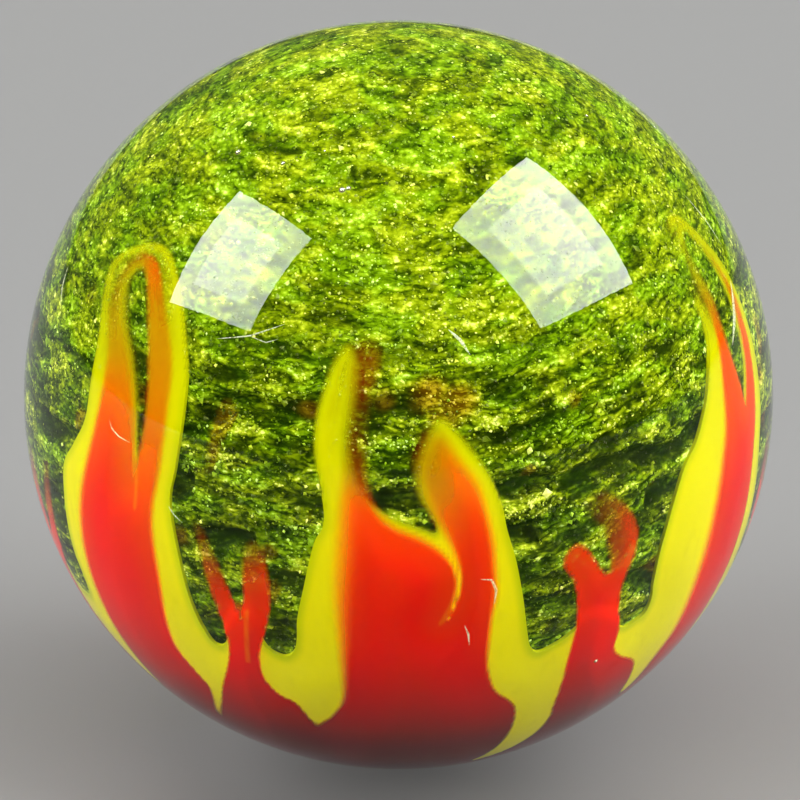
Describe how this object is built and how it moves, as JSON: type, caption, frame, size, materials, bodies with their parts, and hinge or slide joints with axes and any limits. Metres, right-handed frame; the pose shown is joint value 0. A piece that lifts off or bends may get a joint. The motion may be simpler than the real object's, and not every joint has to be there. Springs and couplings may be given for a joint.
{
  "type": "glass marble",
  "caption": "Clear glass marble over a sparkling green core, with red flames edged in yellow rising round its foot.",
  "frame": {"origin": "centre of the ball", "axes": "+Z is the way the flames rise, -Y is the front shown in the picture, +X is to the right of it"},
  "size_m": [0.038, 0.038, 0.038],
  "materials": {
    "clear_glass": "clear, fire polished",
    "green_sparkle_glass": "transparent green full of bright metallic flakes",
    "yellow_glass": "opaque yellow",
    "red_glass": "opaque red"
  },
  "bodies": {
    "root": {"clear_casing": "clear_glass", "green_core": "green_sparkle_glass", "yellow_flames": "yellow_glass", "red_flames": "red_glass"}
  },
  "joints": []
}
